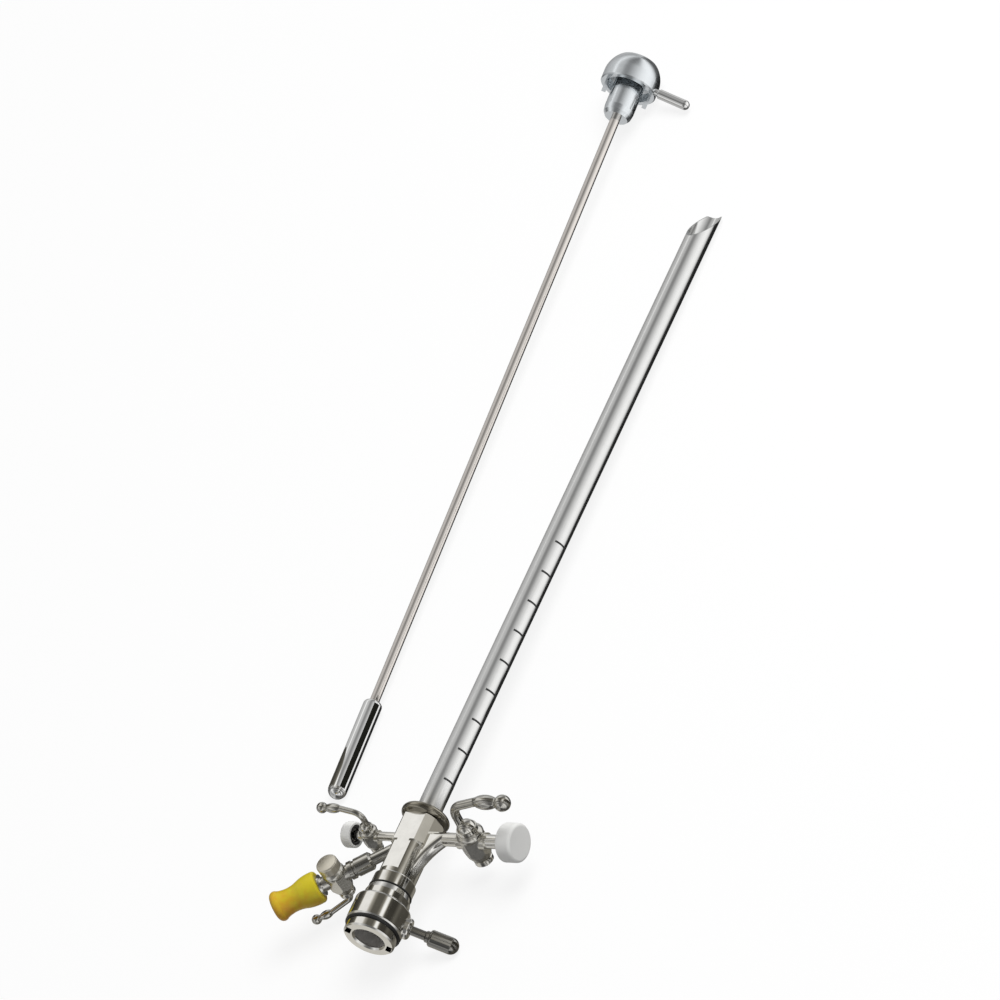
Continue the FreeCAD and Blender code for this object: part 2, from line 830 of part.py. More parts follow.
def flange_back(size):
    """Where the channel outlet's flange begins, just clear of the valve's cheek."""
    return cheek_seat(size) + flange_from


def rubber_base(size):
    """Where the rubber cap begins, in front of the flange."""
    return flange_back(size) + flange_thick + face_gap


def rubber_floor(size):
    """The bottom of the rubber cap's bore."""
    return rubber_base(size) + rubber_cover


def rubber_cap(size):
    """The spool-shaped rubber cap with a hole for an instrument in its outer face."""
    base = rubber_base(size)
    mouth = base + rubber_length
    deep = rubber_floor(size)
    foot = rubber_base_radius
    edge = rubber_base_round
    return turned([(rubber_bore, base), (foot - edge, base),
                   arc_about((foot - edge, base + edge), edge, -90, 0),
                   ((rubber_belly_radius, base + rubber_belly_at),
                    (rubber_shoulder_radius, base + rubber_shoulder_at)),
                   ((rubber_neck_radius, base + rubber_neck_at), (rubber_rim_radius, base + rubber_rim_at)),
                   ((rubber_mouth_radius, base + rubber_lip_at), (rubber_lip_radius, mouth)),
                   (rubber_hole + rubber_hole_flare, mouth), (rubber_hole, mouth - rubber_hole_depth),
                   (rubber_hole, deep), (rubber_bore, deep)], along=X)


def side_pipe(side, size, reach):
    """The pipe from the tube's wall to the valve."""
    start = port_start + side * (tube_radius + face_gap)
    end = port_start + side * (reach - cheek_seat(size))
    return rod(pipe_radius * size, start, end).cut(rod(port_bore * size, start, end))


def channel_pipe():
    """The slim pipe from the hub to the channel's valve."""
    start = channel_start + channel_out * channel_inner
    end = channel_start + channel_out * (channel_valve_at - cheek_seat(channel_size))
    return rod(channel_pipe_radius, start, end).cut(rod(channel_bore, start, end))


def channel_sleeve():
    """The stouter sleeve on the channel's pipe beside the valve."""
    end = channel_valve_at - cheek_length * channel_size
    start = end - sleeve_length
    outer = sleeve_radius
    waist = outer - sleeve_groove_depth
    groove_end = end - sleeve_groove_at
    groove_start = groove_end - sleeve_groove_width
    return turned([(channel_pipe_radius, start), (outer - sleeve_bevel, start), (outer, start + sleeve_bevel),
                   (outer, groove_start), (waist, groove_start + sleeve_groove_slope),
                   (waist, groove_end - sleeve_groove_slope), (outer, groove_end), (outer, end),
                   (channel_pipe_radius, end)], channel_start, channel_out)


# Obturator, drawn from its tip at the origin to its head at +Y

rim_station = obturator_length - obturator_head_height
neck_back = rim_station - neck_length
pivot_end = obturator_length - cover_thick - cover_gap
retainer_base = pivot_end - pivot_lip - retainer_thick


def obturator_tip():
    """The stout round-ended tip, drilled for the rod."""
    ball = tip_radius
    shoulder = tip_length - (ball - rod_radius)
    shape = turned([(0, 0), (arc_about((0, ball), ball, -90, 0)[0], (ball, ball)), (ball, shoulder),
                    arc_about((rod_radius, shoulder), ball - rod_radius, 0, 90), (0, tip_length)])
    return shape.cut(rod(rod_radius, station(tip_length - tip_seat), station(tip_length + 1)))


def obturator_rod():
    """The thin rod from the tip to the neck."""
    return rod(rod_radius, station(tip_length - tip_seat), station(neck_back + tip_seat))


def obturator_neck():
    """The plug that fills the sheath's socket, with the pivot that the head turns on."""
    top = rim_station + cup_depth
    shape = turned([(0, neck_back), (neck_radius - neck_bevel, neck_back),
                    (neck_radius - neck_foot, neck_back + neck_bevel_length),
                    (neck_radius, neck_back + neck_foot_length), (neck_radius, top - face_gap),
                    (pivot_radius, top - face_gap), (pivot_radius, pivot_end), (0, pivot_end)])
    shape = shape.cut(rod(rod_radius, station(neck_back - 1), station(neck_back + tip_seat)))
    return shape.cut(retaining_band())


def retaining_band():
    """The round that the retaining ring takes up, in the pivot's groove and over the recess's floor."""
    return tube_ring(pivot_radius + retainer_proud, pivot_radius - retainer_depth,
                     retainer_base + retainer_thick, retainer_base)


def retaining_ring():
    """The open ring that holds the head on its pivot."""
    mouth = Part.makeBox(retainer_mouth, 3 * retainer_thick, 2 * pivot_radius)
    mouth.translate(FreeCAD.Vector(-retainer_mouth / 2, retainer_base - retainer_thick, 0))
    return retaining_band().cut(mouth)


def obturator_head():
    """The round-shouldered head with the cup below, the recess above and the pivot's bore."""
    outer = obturator_head_radius
    low = rim_station
    high = obturator_length
    inside = outer - cup_wall
    floor = retainer_base - face_gap
    cup_floor = low + cup_depth
    head = turned([(neck_radius + hook_play, cup_floor), (inside - cup_round, cup_floor),
                   (inside, cup_floor - cup_round), (inside, low), (outer - head_edge, low),
                   (outer, low + head_edge), (outer, low + head_wall_height),
                   ((outer - head_shoulder_drop, low + head_shoulder_at),
                    (crown_radius + crown_bevel, high - crown_bevel)), (crown_radius, high),
                   (cover_radius, high), (cover_radius, floor), (pivot_radius + face_gap, floor),
                   (pivot_radius + face_gap, cup_floor)])
    head = head.cut(pin_bar(pin_root_radius, obturator_head_radius - cup_wall, 2 * pin_length))
    for turn in (0, 180):
        head = head.cut(claw_slot(turn))
    return head.removeSplitter()


def head_cover():
    """The disc that closes the recess."""
    return turned([(0, obturator_length - cover_thick), (cover_radius, obturator_length - cover_thick),
                   (cover_radius, obturator_length - cover_edge),
                   (cover_radius - cover_edge, obturator_length),
                   (0, obturator_length)])


pin_direction = FreeCAD.Rotation(Y, pin_droop).multVec(
    FreeCAD.Vector(math.cos(math.radians(pin_slant)), -math.sin(math.radians(pin_slant)), 0))


def pin_bar(radius, start, end):
    """A bar on the pin's line between two distances from the head's axis."""
    centre = station(rim_station + pin_height)
    return rod(radius, centre + pin_direction * start, centre + pin_direction * end)


def obturator_pin():
    """The bright lever pin, slimmer where it enters the head."""
    outer = obturator_head_radius + pin_root_length
    end = obturator_head_radius + pin_length
    base = obturator_head_radius - cup_wall
    step = pin_radius - pin_root_radius
    return turned([(0, base), (pin_root_radius, base), (pin_root_radius, outer - step), (pin_radius, outer),
                   (pin_radius, end - pin_radius), round_end(pin_radius, end)],
                  station(rim_station + pin_height), pin_direction)


def claw_slot(turn):
    """The slot inside the cup's wall where a claw is seated."""
    inner = obturator_head_radius - cup_wall
    return radial_box(turn, rim_station - 1, rim_station + claw_root, inner - claw_thick, inner + claw_seat,
                      claw_width)


def obturator_claws():
    """Two hooks that pass the slots of the sheath's end ring and catch behind its lip."""
    inner = obturator_head_radius - cup_wall
    claws = []
    for turn in (0, 180):
        leg = radial_box(turn, rim_station - claw_drop, rim_station + claw_root,
                         inner + claw_seat - claw_thick, inner + claw_seat, claw_width)
        hook = radial_box(turn, rim_station - claw_drop, rim_station - claw_drop + claw_hook_length,
                          inner + claw_seat - claw_hook, inner, claw_width)
        claws.append(leg.fuse(hook).removeSplitter())
    return Part.makeCompound(claws)


# Lay both instruments on the table

lock_low = (lever_reach - lever_head_radius) * math.sin(math.radians(lock_droop)) + lever_head_radius
rest_tilt = math.degrees(math.atan2(lock_low - tube_radius, tube_reach - lever_station))
sheath_lay = FreeCAD.Placement(ORIGIN, FreeCAD.Rotation(X, -rest_tilt))
table = sheath_lay.multVec(FreeCAD.Vector(0, tube_reach, -tube_radius)).z
obturator_rise = math.degrees(math.asin((obturator_head_radius - tip_radius) / rim_station))
obturator_lay = FreeCAD.Placement(
    FreeCAD.Vector(-obturator_side, obturator_start, table + tip_radius), FreeCAD.Rotation(X, obturator_rise))


def save(shape, name, lay):
    """Write one piece, laid on the table, to its own file."""
    placed = shape.copy()
    placed.Placement = lay.multiply(placed.Placement)
    if not placed.isValid():
        raise ValueError(name + " isn't a valid solid")
    placed.exportStep("parts/" + name + ".step")


def sheath_pieces():
    """Every piece of the sheath by name, in the sheath's own frame."""
    pieces = {"sheath_tube": sheath_tube(), "guard_ring": guard_ring(), "hub_body": hub_body(),
              "collar_ring": collar_ring(), "end_ring": end_ring(), "socket_seal": socket_seal(),
              "lock_ring": lock_ring(), "lock_lever": lock_lever(), "lock_stop_pin": lock_stop_pin(),
              "right_pipe": side_pipe(X, 1.0, right_valve_at),
              "left_pipe": side_pipe(-X, left_size, left_valve_at),
              "channel_pipe": channel_pipe(), "channel_sleeve": channel_sleeve()}
    for side, size, frame, length in (("right", 1.0, right_frame, right_outlet_length),
                                      ("left", left_size, left_frame, left_outlet_length)):
        pieces[side + "_valve_body"] = frame.put(
            valve_body(size, pipe_radius * size, outlet_pipe_radius * size, port_bore * size))
        pieces[side + "_valve_plug"] = frame.put(domed_plug(size))
        pieces[side + "_valve_lever"] = frame.put(curved_lever(size))
        pieces[side + "_valve_washer"] = frame.put(valve_washer(size))
        pieces[side + "_valve_nut"] = frame.put(valve_nut(size))
        pieces[side + "_outlet"] = frame.put(luer_outlet(size, length))
        pieces[side + "_luer_cap"] = frame.put(luer_cap(size, length))
    size = channel_size
    put = channel_frame.put
    pieces["channel_valve_body"] = put(
        valve_body(size, channel_pipe_radius, outlet_end_radius, channel_bore))
    pieces["channel_valve_plug"] = put(knob_plug(size))
    pieces["channel_valve_knob"] = put(flat_knob(size))
    pieces["channel_valve_washer"] = put(valve_washer(size))
    pieces["channel_valve_nut"] = put(valve_nut(size))
    pieces["channel_valve_lever"] = put(under_lever(size))
    pieces["channel_outlet"] = put(channel_outlet(size))
    pieces["channel_rubber_cap"] = put(rubber_cap(size))
    return pieces


def obturator_pieces():
    """Every piece of the obturator by name, in its own frame."""
    return {"obturator_rod": obturator_rod(), "obturator_tip": obturator_tip(),
            "obturator_neck": obturator_neck(), "obturator_head": obturator_head(),
            "obturator_head_cover": head_cover(), "obturator_retaining_ring": retaining_ring(),
            "obturator_claws": obturator_claws(), "obturator_pin": obturator_pin()}


os.makedirs("parts", exist_ok=True)
for piece_name, piece in sheath_pieces().items():
    save(piece, piece_name, sheath_lay)
for piece_name, piece in obturator_pieces().items():
    save(piece, piece_name, obturator_lay)
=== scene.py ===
import json
import math

import bpy
import numpy as np
from bpy.props import FloatProperty, FloatVectorProperty, PointerProperty
from bpy.types import Operator, Panel, PropertyGroup
from mathutils import Matrix, Vector


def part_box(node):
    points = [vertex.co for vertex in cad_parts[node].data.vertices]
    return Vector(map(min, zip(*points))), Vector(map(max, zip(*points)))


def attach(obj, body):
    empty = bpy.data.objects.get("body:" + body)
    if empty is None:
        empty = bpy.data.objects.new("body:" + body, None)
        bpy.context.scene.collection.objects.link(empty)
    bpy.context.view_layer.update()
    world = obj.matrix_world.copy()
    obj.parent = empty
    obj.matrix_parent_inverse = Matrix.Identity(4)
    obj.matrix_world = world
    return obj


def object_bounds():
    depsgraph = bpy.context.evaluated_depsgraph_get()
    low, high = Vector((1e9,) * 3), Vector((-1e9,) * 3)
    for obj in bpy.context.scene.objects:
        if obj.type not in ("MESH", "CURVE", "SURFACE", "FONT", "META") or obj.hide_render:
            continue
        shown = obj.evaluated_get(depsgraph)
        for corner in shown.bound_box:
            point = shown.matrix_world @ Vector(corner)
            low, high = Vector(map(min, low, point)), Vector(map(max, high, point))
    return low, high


bl_info = {
    "name": "Urethrotome sheath",
    "version": (1, 0, 0),
    "blender": (4, 5, 0),
    "location": "3D View > Sidebar > Sheath",
    "description": "Dresses the sheath and its obturator, and sets the studio round them",
    "category": "Object",
}

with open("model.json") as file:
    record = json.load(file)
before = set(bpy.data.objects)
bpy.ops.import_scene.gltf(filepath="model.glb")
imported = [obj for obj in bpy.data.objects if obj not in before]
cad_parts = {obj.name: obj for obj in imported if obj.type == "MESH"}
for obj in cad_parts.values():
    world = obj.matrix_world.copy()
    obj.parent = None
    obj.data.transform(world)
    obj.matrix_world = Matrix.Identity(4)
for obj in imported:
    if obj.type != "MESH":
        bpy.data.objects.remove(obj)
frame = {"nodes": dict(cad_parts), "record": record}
NODES = frame["nodes"]
MOUNTS = {mount["name"]: mount for mount in frame["record"]["mounts"]}
CAD_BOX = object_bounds()
MM = 0.001

# The sheath's own axes, from the mount that runs down its bore
ALONG = -Vector(MOUNTS["lumen"]["axis"]).normalized()
ASIDE = Vector((1, 0, 0))
ABOVE = ASIDE.cross(ALONG).normalized()
TILT = math.asin(-ALONG.z)


class StudioSettings(PropertyGroup):
    """The floor, the light and the camera."""
    azimuth: FloatProperty(name="Azimuth", description="Camera's turn from looking along +Y",
                           default=math.radians(52.755), subtype="ANGLE")
    elevation: FloatProperty(name="Elevation", description="Camera's height above the horizon",
                             default=math.radians(42.502), subtype="ANGLE")
    roll: FloatProperty(name="Roll", description="Camera's turn about its own line of sight",
                        default=math.radians(-39.407), subtype="ANGLE")
    distance: FloatProperty(name="Distance", description="Camera's distance from the middle of the picture",
                            default=6.0, unit="LENGTH")
    width: FloatProperty(name="Width", description="Width of what the picture shows",
                         default=0.26882, unit="LENGTH")
    ambient: FloatProperty(name="Ambient", description="Strength of the light from all round", default=0.36)
    key: FloatProperty(name="Key", description="Power of the soft lamp overhead", default=14.0,
                       unit="POWER")
    tent_radius: FloatProperty(name="Tent", description="Radius of the ring of cards round the hub",
                               default=0.08, unit="LENGTH")
    floor_size: FloatProperty(name="Floor", description="Side of the floor", default=8.0, unit="LENGTH")


class SteelSettings(PropertyGroup):
    """Colours of the metals."""
    tube: FloatVectorProperty(name="Tube", description="Satin steel of the tube",
                              default=(0.72, 0.72, 0.71), subtype="COLOR")
    polished: FloatVectorProperty(name="Polished", description="Polished steel of the hub and the lock",
                                  default=(0.74, 0.73, 0.70), subtype="COLOR")
    valve: FloatVectorProperty(name="Valve", description="Polished steel of the valves and levers",
                               default=(0.66, 0.645, 0.60), subtype="COLOR")
    # Painted shade: the guard ring's polished steel darkened, for the dark surroundings that it mirrors; the
    # valve washers and the stop pin wear it too
    dark: FloatVectorProperty(name="Dark", description="Dark polished steel of the guard ring",
                              default=(0.30, 0.28, 0.23), subtype="COLOR")
    rod: FloatVectorProperty(name="Rod", description="Warm drawn steel of the obturator's rod",
                             default=(0.70, 0.66, 0.62), subtype="COLOR")
    satin: FloatVectorProperty(name="Satin", description="Bead-blasted steel of the obturator's head",
                               default=(0.72, 0.75, 0.77), subtype="COLOR")
    knob: FloatVectorProperty(name="Knob", description="Satin face of the flat knob",
                              default=(0.82, 0.78, 0.68), subtype="COLOR")


class RubberSettings(PropertyGroup):
    """Colours of the rubber and plastic."""
    cap: FloatVectorProperty(name="Cap", description="White moulded caps", default=(0.90, 0.90, 0.88),
                             subtype="COLOR")
    seal: FloatVectorProperty(name="Rubber cap", description="Yellow rubber cap",
                              default=(0.64, 0.53, 0.02), subtype="COLOR")
    # Painted shade on the yellow cap: the colour it turns towards its mouth and underside, where shade falls
    painted_shade_amber: FloatVectorProperty(name="Amber", description="Rubber cap where it is thick and in shade",
                               default=(0.66, 0.33, 0.02), subtype="COLOR")
    # Also the black of the rings that paint the shadow in the lock's joints and the shade in the recesses
    # behind the luer caps
    ring: FloatVectorProperty(name="Seal", description="Black rubber of the rings and seals",
                              default=(0.02, 0.02, 0.02), subtype="COLOR")


# Materials

class Graph:
    """A material's nodes, added and joined by short calls."""

    def __init__(self, name):
        self.material = bpy.data.materials.new(name)
        self.material.use_nodes = True
        self.nodes = self.material.node_tree.nodes
        self.links = self.material.node_tree.links
        self.shader = self.nodes["Principled BSDF"]
        self.coordinates = self.nodes.new("ShaderNodeTexCoord").outputs["Object"]

    def node(self, kind, **values):
        """A node of that kind; each value goes to the socket or the setting of its name."""
        made = self.nodes.new("ShaderNode" + kind)
        for name, value in values.items():
            if hasattr(made, name):
                setattr(made, name, value)
                continue
            socket = made.inputs[name.replace("_", " ")]
            if isinstance(value, bpy.types.NodeSocket):
                self.links.new(value, socket)
            else:
                socket.default_value = value
        return made

    def mapped(self, turn=(0, 0, 0), scale=(1, 1, 1)):
        """Object coordinates in millimetres, seen from a turned and stretched frame."""
        mapping = self.node("Mapping", vector_type="TEXTURE")
        mapping.inputs["Rotation"].default_value = turn
        mapping.inputs["Scale"].default_value = [MM / s for s in scale]
        self.links.new(self.coordinates, mapping.inputs["Vector"])
        return mapping.outputs["Vector"]

    def noise(self, vector, scale, detail=3.0, roughness=0.5):
        """A noise pattern over a vector."""
        made = self.node("TexNoise")
        made.inputs["Scale"].default_value = scale
        made.inputs["Detail"].default_value = detail
        made.inputs["Roughness"].default_value = roughness
        self.links.new(vector, made.inputs["Vector"])
        return made.outputs["Fac"]

    def ramp(self, factor, stops):
        """Colours or greys along a factor; each stop is (place, value)."""
        made = self.node("ValToRGB")
        elements = made.color_ramp.elements
        while len(elements) < len(stops):
            elements.new(0.5)
        for element, (place, value) in zip(elements, stops):
            element.position = place
            element.color = (*value, 1) if hasattr(value, "__len__") else (value, value, value, 1)
        self.links.new(factor, made.inputs["Fac"])
        return made.outputs["Color"]

    def mix(self, factor, first, second, blend="MIX"):
        """Two colours mixed by a factor."""
        return mixed_colour(self.nodes, self.links, factor, first, second, blend)

    def bump(self, height, distance):
        """A bump in metres on the shader's normal."""
        made = self.node("Bump")
        made.inputs["Distance"].default_value = distance
        self.links.new(height, made.inputs["Height"])
        self.links.new(made.outputs["Normal"], self.shader.inputs["Normal"])

    def to(self, name, output):
        """Join an output to the shader's socket of that name."""
        self.links.new(output, self.shader.inputs[name])

    def shine(self, surface):
        """Let a shader other than the first one be the surface."""
        self.links.new(surface.outputs[0], self.nodes["Material Output"].inputs["Surface"])


def mixed_colour(nodes, links, factor, first, second, blend="MIX"):
    """Two colours, each a socket or three numbers, mixed by a factor in a tree of nodes."""
    made = nodes.new("ShaderNodeMix")
    made.data_type = "RGBA"
    made.blend_type = blend
    for socket, value in ((made.inputs[0], factor), (made.inputs[6], first), (made.inputs[7], second)):
        if isinstance(value, bpy.types.NodeSocket):
            links.new(value, socket)
        else:
            socket.default_value = value if socket == made.inputs[0] else (*tuple(value), 1)
    return made.outputs[2]


def scaled(colour, share):
    """A colour made lighter or darker by a share."""
    return tuple(min(1.0, part * share) for part in colour)


def steel(name, colour, turn=(0, 0, 0), bore=False):
    """Steel with handling marks in its gloss, a slight cloud in its colour and a drawn grain, by its line in
    FINISHES. Steel with a bore is a matt machined grey nearer to the sheath's line than BORE_EDGE."""
    low, high, stretch, grain, wear = FINISHES[name]
    g = Graph(name)
    g.shader.inputs["Metallic"].default_value = 1.0
    cloud = g.noise(g.mapped(), STEEL_CLOUD, 4.0)
    skin = g.mix(cloud, scaled(colour, 1 - wear), scaled(colour, 1 + wear))
    lines = g.noise(g.mapped(turn, stretch), STEEL_LINES, 5.0, 0.6)
    gloss = g.ramp(lines, ((0.3, low), (0.72, high)))
    if bore:
        split = g.node("SeparateXYZ", Vector=g.mapped(turn))
        across = g.node("CombineXYZ", X=split.outputs["X"], Y=split.outputs["Z"])
        away = g.node("VectorMath", operation="LENGTH")
        g.links.new(across.outputs[0], away.inputs[0])
        inside = g.node("MapRange", From_Min=BORE_EDGE[1], From_Max=BORE_EDGE[0])
        g.links.new(away.outputs["Value"], inside.inputs["Value"])
        skin = g.mix(inside.outputs[0], skin, BORE_GREY)
        gloss = g.mix(inside.outputs[0], gloss, (BORE_GLOSS,) * 3)
    g.to("Base Color", skin)
    g.to("Roughness", gloss)
    if grain:
        g.bump(lines, grain)
    return g.material


# Each steel's finish: its roughness from and to, the stretch of its grain across, along and across the piece,
# the grain's depth in metres, and the share by which its colour clouds
FINISHES = {
    "drawn_tube": (0.10, 0.24, (1.2, 0.03, 1.2), 0.000004, 0.05),
    "polished_steel": (0.05, 0.12, (0.25, 1.2, 0.25), 0.000001, 0.12),
    "hub_steel": (0.05, 0.12, (0.25, 1.2, 0.25), 0.000001, 0.12),
    "valve_steel": (0.04, 0.11, (0.5, 0.9, 0.5), 0.000001, 0.12),
    "lever_steel": (0.04, 0.1, (0.5, 0.9, 0.5), 0.000001, 0.12),
    "painted_shade_grip_steel": (0.05, 0.12, (0.5, 0.9, 0.5), 0.000001, 0.12),
    "painted_shade_polished_steel": (0.06, 0.14, (0.3, 1.0, 0.3), 0.000001, 0.12),
    "turned_valve_steel": (0.2, 0.26, (0.6, 0.6, 0.6), 0.0, 0.06),
    "satin_knob": (0.32, 0.46, (1.5, 1.5, 1.5), 0.000004, 0.05),
    "ground_spring": (0.2, 0.34, (1.5, 1.5, 1.5), 0.000002, 0.12),
    "blasted_head": (0.17, 0.26, (1.5, 1.5, 1.5), 0.000001, 0.04),
    "drawn_rod": (0.12, 0.22, (1.2, 0.04, 1.2), 0.000002, 0.05),
    "mirror_tip": (0.03, 0.08, (0.4, 0.4, 0.4), 0.0, 0.03),
}

# Features to the millimetre of a steel's cloud and of its grain
STEEL_CLOUD = 0.35
STEEL_LINES = 2.2

# A machined bore: the radii over which it starts, its colour and its roughness
BORE_EDGE = (4.32, 4.38)
BORE_GREY = (0.84, 0.83, 0.82)
BORE_GLOSS = 0.55


def moulded(name, colour, low, high, mottle, speck, painted_shade=None):
    """Plastic or rubber with a fine moulded skin; the last argument, if given, is a painted shade: the colour
    towards its mouth and underside.
    """
    g = Graph(name)
    cloud = g.noise(g.mapped(), 0.5, 3.0)
    skin = g.mix(cloud, scaled(colour, 1 - mottle), scaled(colour, 1 + mottle))
    # Painted shade: a deeper colour mixed in towards the mouth and the underside, in patches
    if painted_shade:
        way = g.node("VectorMath", operation="DOT_PRODUCT")
        g.links.new(g.mapped(), way.inputs[0])
        way.inputs[1].default_value = PAINTED_SHADE_TOWARDS
        patchy = g.node("Math", operation="MULTIPLY_ADD")
        g.links.new(g.noise(g.mapped(), 0.45, 3.0), patchy.inputs[0])
        patchy.inputs[1].default_value = PAINTED_SHADE_PATCHES
        g.links.new(way.outputs["Value"], patchy.inputs[2])
        span = g.node("MapRange", From_Min=PAINTED_SHADE_SPAN[0], From_Max=PAINTED_SHADE_SPAN[1])
        g.links.new(patchy.outputs[0], span.inputs["Value"])
        skin = g.mix(span.outputs[0], skin, painted_shade)
    g.to("Base Color", skin)
    g.to("Roughness", g.ramp(g.noise(g.mapped(), 3.0), ((0.3, low), (0.7, high))))
    g.bump(g.noise(g.mapped(), 9.0, 4.0), speck)
    g.shader.inputs["Specular IOR Level"].default_value = 0.4
    return g.material


# The yellow rubber's painted shade, darker towards its mouth and its underside: the direction, the
# millimetres along it over which it darkens, and how far patches reach out of those
PAINTED_SHADE_TOWARDS = (-0.45, -0.35, -0.82)
PAINTED_SHADE_SPAN = (24.5, 33.5)
PAINTED_SHADE_PATCHES = 14.0


def dress(material, *names):
    """Give CAD nodes a material."""
    for name in names:
        for slot in NODES[name].material_slots:
            slot.material = material


# Shapes worked out on grids

def grid_mesh(name, points, close_u=False, close_v=False, cap_ends=False):
    """A mesh from a grid of points of shape (u, v, 3); either way round may close on itself, and the first
    and last rings of a closed run may be capped."""
    rows, columns = points.shape[:2]
    index = np.arange(rows * columns).reshape(rows, columns)
    if close_u:
        index = np.concatenate((index, index[:1]), axis=0)
    if close_v:
        index = np.concatenate((index, index[:, :1]), axis=1)
    corners = (index[:-1, :-1], index[1:, :-1], index[1:, 1:], index[:-1, 1:])
    faces = np.stack(corners, axis=-1).reshape(-1, 4).tolist()
    if cap_ends:
        faces += [index[:rows, 0].tolist(), index[:rows, -1].tolist()[::-1]]
    mesh = bpy.data.meshes.new(name)
    mesh.from_pydata(points.reshape(-1, 3).tolist(), [], faces)
    mesh.polygons.foreach_set("use_smooth", np.ones(len(faces), bool))
    mesh.update()
    return mesh


def own_frame(points):
    """Points in the sheath's own millimetres, moved to the row frame in metres."""
    axes = np.array((ASIDE, ALONG, ABOVE))
    return points @ axes * MM


def add_piece(name, mesh, material, body):
    """A mesh as an object that rides on a body and wears a material."""
    piece = bpy.data.objects.new(name, mesh)
    bpy.context.scene.collection.objects.link(piece)
    mesh.materials.append(material)
    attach(piece, body)
    return piece


class SHEATH_OT_steel(Operator):
    """Dress the sheath's steel pieces"""
    bl_idname = "sheath.steel"
    bl_label = "Dress the sheath's steel"

    def execute(self, context):
        colours = context.scene.steel
        along = (-TILT, 0, 0)
        drawn = steel("drawn_tube", colours.tube, along)
        polished = steel("polished_steel", colours.polished, along)
        hub = steel("hub_steel", colours.polished, along, bore=True)
        valve = steel("valve_steel", colours.valve, along)
        # Painted shade: the levers, the channel's pipe and sleeve, and the lock's grip wear the valve steel
        # darkened, for the dark surroundings that they mirror
        lever = steel("lever_steel", scaled(colours.valve, 0.8), along)
        painted_shade_grip = steel("painted_shade_grip_steel", scaled(colours.valve, 0.45), along)
        # Painted shade: the guard ring's darkened steel
        dark = steel("painted_shade_polished_steel", colours.dark, along)
        turned = steel("turned_valve_steel", colours.valve, along)
        knob = steel("satin_knob", colours.knob, along)
        # Wears the guard ring's darkened colour, which is painted shade
        spring = steel("ground_spring", colours.dark, along)
        dress(drawn, "sheath_tube")
        dress(hub, "hub_body")
        dress(polished, "collar_ring", "end_ring", "lock_ring")
        dress(valve, "right_pipe", "left_pipe")
        dress(lever, "channel_pipe", "channel_sleeve")
        dress(dark, "guard_ring")
        dress(painted_shade_grip, "lock_lever")
        for side in ("right", "left", "channel"):
            dress(polished, side + "_outlet")
            dress(valve, side + "_valve_plug", side + "_valve_nut")
            dress(turned, side + "_valve_body")
            dress(lever, side + "_valve_lever")
            dress(spring, side + "_valve_washer")
        dress(knob, "channel_valve_knob")
        dress(spring, "lock_stop_pin")
        return {"FINISHED"}


class SHEATH_OT_caps(Operator):
    """Dress the caps and the seal"""
    bl_idname = "sheath.caps"
    bl_label = "Dress the caps and the seal"

    def execute(self, context):
        colours = context.scene.rubber
        white = moulded("white_cap", colours.cap, 0.42, 0.56, 0.015, 0.000006)
        # Its last argument is painted shade towards the cap's mouth and underside
        yellow = moulded("yellow_rubber", colours.seal, 0.3, 0.44, 0.05, 0.00001,
                         painted_shade=tuple(colours.painted_shade_amber))
        black = moulded("black_rubber", colours.ring, 0.4, 0.5, 0.1, 0.000004)
        dress(white, "right_luer_cap", "left_luer_cap")
        dress(yellow, "channel_rubber_cap")
        dress(black, "socket_seal")
        return {"FINISHED"}


class SHEATH_OT_shade_rings(Operator):
    """Add black rubber rings as painted shadow: two in the joints at the lock and the collar, and one in each
    luer cap's recess
    """
    bl_idname = "sheath.rings"
    bl_label = "Add the black rings"

    def execute(self, context):
        rubber = moulded("black_shade_ring_rubber", context.scene.rubber.ring, 0.35, 0.5, 0.1, 0.000004)
        for name, station, middle, section in LOCK_SHADE_RINGS:
            add_piece(name, round_ring(name, station, middle, section), rubber, "sheath")
        # Behind each luer cap, a black ring paints the shade in its recess
        for side, towards_hub in (("right", -1), ("left", 1)):
            low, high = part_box(side + "_luer_cap")
            size = (high.y - low.y) / (2 * LUER_CAP_RADIUS * MM)
            back = (high if towards_hub > 0 else low).x / MM
            profile = [(back - towards_hub * size * depth, size * radius) for depth, radius in CAP_SHADE_RING]
            centre = ((low + high) / 2).yz / MM
            name = side + "_cap_shade_ring"
            add_piece(name, turned_about_x(name, profile, centre), rubber, side + "_cap")
        return {"FINISHED"}


# Each black ring on the lock, a painted shadow in a joint: its name, then its place along the sheath, radius
# and section's radius
LOCK_SHADE_RINGS = (("lock_back_shade_ring", -39.16, 7.56, 0.36), ("collar_front_shade_ring", -26.66, 6.0, 0.2))

# The right cap's radius, and the section of the black ring behind it, which paints the shade in the cap's
# recess, as (depth from the back rim, radius); the left one is smaller throughout
LUER_CAP_RADIUS = 5.4
CAP_SHADE_RING = ((1.88, 2.86), (0.55, 2.86), (0.4, 3.0), (0.4, 4.1), (0.55, 4.26), (1.88, 4.26))


def round_ring(name, station, middle, section):
    """A ring of round section about the sheath's line: ((middle + section cos b) cos a,
    station + section sin b, (middle + section cos b) sin a)."""
    around = np.linspace(0, 2 * np.pi, 97)[:-1][:, None]
    across = np.linspace(0, 2 * np.pi, 17)[:-1][None, :]
    radius = middle + section * np.cos(across)
    points = np.stack((radius * np.cos(around), station + section * np.sin(across) + 0 * around,
                       radius * np.sin(around)), axis=-1)
    return grid_mesh(name, own_frame(points), close_u=True, close_v=True)


